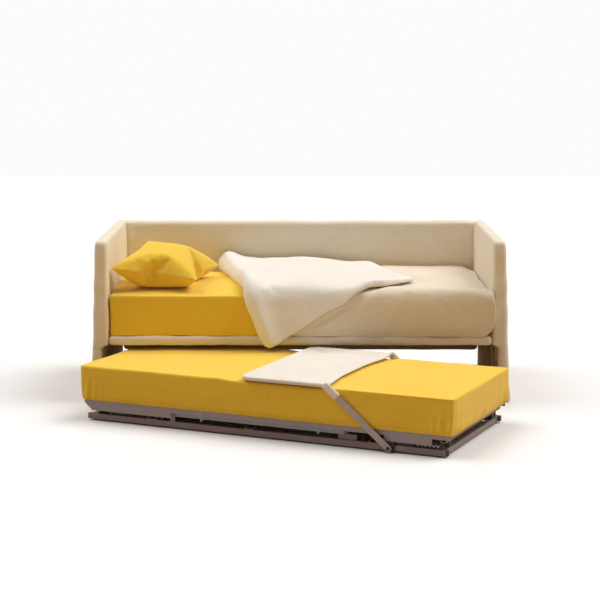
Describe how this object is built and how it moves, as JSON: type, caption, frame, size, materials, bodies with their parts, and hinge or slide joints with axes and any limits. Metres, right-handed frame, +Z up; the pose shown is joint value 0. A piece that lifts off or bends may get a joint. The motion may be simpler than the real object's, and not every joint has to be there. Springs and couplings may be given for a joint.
{
  "type": "sofa bed with pull-out bed",
  "caption": "Upholstered sofa bed with a second, lower bed on castors that swings and rolls out from beneath it, with scissor lift arms and a fold-over headrest.",
  "frame": {"origin": "on the floor, under the middle of the box round the whole object, 67 mm in front of the front face of the sofa", "axes": "+X to the right along the sofa, +Y to its back, +Z up"},
  "size_m": [2.08, 2.1339, 0.815],
  "materials": {
    "bare_steel": "zinc-plated steel",
    "beech": "steamed beech, clear lacquer",
    "black_plastic": "black moulded plastic",
    "blue_steel": "blue-grey powder coat",
    "board": "raw plywood board",
    "brown_steel": "brown-grey powder coat",
    "duvet_cotton": "beige cotton cover",
    "flap_cotton": "off-white cotton cover",
    "grey_plastic": "grey moulded plastic",
    "grey_steel": "grey-mauve powder coat",
    "headrest_cloth": "off-white speckled cloth",
    "light_steel": "light grey powder coat",
    "linen": "linen upholstery, off-white with slubs",
    "sheet_yellow": "yellow cotton sheet",
    "spring_steel": "bright spring wire",
    "wheel_rubber": "black rubber tread"
  },
  "bodies": {
    "sofa": {"back_board": "board", "back_panel": "linen", "bracket_bolts": "bare_steel", "corner_brackets": "bare_steel", "duvet": "duvet_cotton", "duvet_flap": "flap_cotton", "floor_glides": "black_plastic", "front_ledge": "board", "front_rail": "linen", "front_rail_core": "board", "left_side_board": "board", "left_side_panel": "linen", "pillow": "sheet_yellow", "rear_rail": "board", "right_side_board": "board", "right_side_panel": "linen", "seat_slats": "beech", "slat_shoes": "grey_plastic", "upper_mattress": "sheet_yellow"},
    "guide": {"guide_fork": "bare_steel"},
    "guide_roller": {"guide_wheel": "wheel_rubber"},
    "base": {"base_cross_members": "brown_steel", "base_end_bars": "light_steel", "base_end_caps": "black_plastic", "base_front_rail": "brown_steel", "base_rear_rail": "brown_steel", "base_lugs": "brown_steel", "castor_plates": "bare_steel", "rest_pads": "black_plastic", "roller_tracks": "brown_steel", "lift_springs": "spring_steel", "spring_hooks": "black_plastic", "spring_housings": "black_plastic"},
    "lift_outer": {"outer_arms": "blue_steel", "outer_rollers": "black_plastic"},
    "lift_inner": {"inner_arms": "blue_steel", "inner_rollers": "black_plastic"},
    "bed_frame": {"bed_end_tubes": "grey_steel", "bed_front_rail": "grey_steel", "bed_rear_rail": "grey_steel", "bed_gussets": "grey_steel", "bed_lugs": "grey_steel", "bed_slats": "beech", "slat_holders": "grey_plastic", "headrest_brackets": "black_plastic", "lower_mattress": "sheet_yellow"},
    "headrest": {"headrest_arms": "light_steel", "headrest_tube": "grey_steel", "headrest_sleeve": "headrest_cloth"},
    "castor_1": {"castor_fork_1": "bare_steel"},
    "castor_roller_1": {"castor_wheel_1": "wheel_rubber"},
    "castor_2": {"castor_fork_2": "bare_steel"},
    "castor_roller_2": {"castor_wheel_2": "wheel_rubber"},
    "castor_3": {"castor_fork_3": "bare_steel"},
    "castor_roller_3": {"castor_wheel_3": "wheel_rubber"},
    "castor_4": {"castor_fork_4": "bare_steel"},
    "castor_roller_4": {"castor_wheel_4": "wheel_rubber"}
  },
  "joints": [
    {"name": "pull_out", "type": "slide", "parent": "sofa", "child": "guide", "axis": [0, -1, 0], "range_m": [-0.815, 0]},
    {"name": "swing", "type": "hinge", "parent": "guide", "child": "base", "pos_m": [-0.05062, -0.25767, 0.00002], "axis": [0, 0, 1], "range_deg": [0, 24.6]},
    {"name": "guide_roll", "type": "hinge", "parent": "guide", "child": "guide_roller", "pos_m": [-0.05062, -0.24467, 0.0135], "axis": [1, 0, 0], "continuous": true},
    {"name": "lift_outer_turn", "type": "hinge", "parent": "base", "child": "lift_outer", "pos_m": [-0.43948, -0.14639, 0.067], "axis": [-0.4147, -0.91, 0], "range_deg": [0, 1.3]},
    {"name": "lift_cross_turn", "type": "hinge", "parent": "lift_outer", "child": "lift_inner", "pos_m": [-0.0391, -0.32885, 0.067], "axis": [-0.4147, -0.91, 0], "range_deg": [-2.6, 0]},
    {"name": "lift_bed_turn", "type": "hinge", "parent": "lift_inner", "child": "bed_frame", "pos_m": [-0.43948, -0.14639, 0.067], "axis": [-0.4147, -0.91, 0], "range_deg": [0, 1.3]},
    {"name": "headrest_turn", "type": "hinge", "parent": "bed_frame", "child": "headrest", "pos_m": [0.55237, -0.5984, 0.022], "axis": [0.4147, 0.91, 0], "range_deg": [0, 115]},
    {"name": "castor_swivel_1", "type": "hinge", "parent": "base", "child": "castor_1", "pos_m": [-0.65984, -0.36466, 0.03], "axis": [0, 0, 1], "continuous": true},
    {"name": "castor_spin_1", "type": "hinge", "parent": "castor_1", "child": "castor_roller_1", "pos_m": [-0.64801, -0.37005, 0.0135], "axis": [0.4147, 0.91, 0], "continuous": true},
    {"name": "castor_swivel_2", "type": "hinge", "parent": "base", "child": "castor_2", "pos_m": [-0.41932, 0.16312, 0.03], "axis": [0, 0, 1], "continuous": true},
    {"name": "castor_spin_2", "type": "hinge", "parent": "castor_2", "child": "castor_roller_2", "pos_m": [-0.40749, 0.15773, 0.0135], "axis": [0.4147, 0.91, 0], "continuous": true},
    {"name": "castor_swivel_3", "type": "hinge", "parent": "base", "child": "castor_3", "pos_m": [0.35932, -0.82912, 0.03], "axis": [0, 0, 1], "continuous": true},
    {"name": "castor_spin_3", "type": "hinge", "parent": "castor_3", "child": "castor_roller_3", "pos_m": [0.37115, -0.83451, 0.0135], "axis": [0.4147, 0.91, 0], "continuous": true},
    {"name": "castor_swivel_4", "type": "hinge", "parent": "base", "child": "castor_4", "pos_m": [0.59984, -0.30134, 0.03], "axis": [0, 0, 1], "continuous": true},
    {"name": "castor_spin_4", "type": "hinge", "parent": "castor_4", "child": "castor_roller_4", "pos_m": [0.61167, -0.30673, 0.0135], "axis": [0.4147, 0.91, 0], "continuous": true}
  ],
  "couplings": [
    {"joint": "swing", "follows": "pull_out", "rad_per_m": -0.52467},
    {"joint": "guide_roll", "follows": "pull_out", "rad_per_m": 74.074},
    {"joint": "lift_cross_turn", "follows": "lift_outer_turn", "ratio": -2},
    {"joint": "lift_bed_turn", "follows": "lift_outer_turn", "ratio": 1}
  ]
}
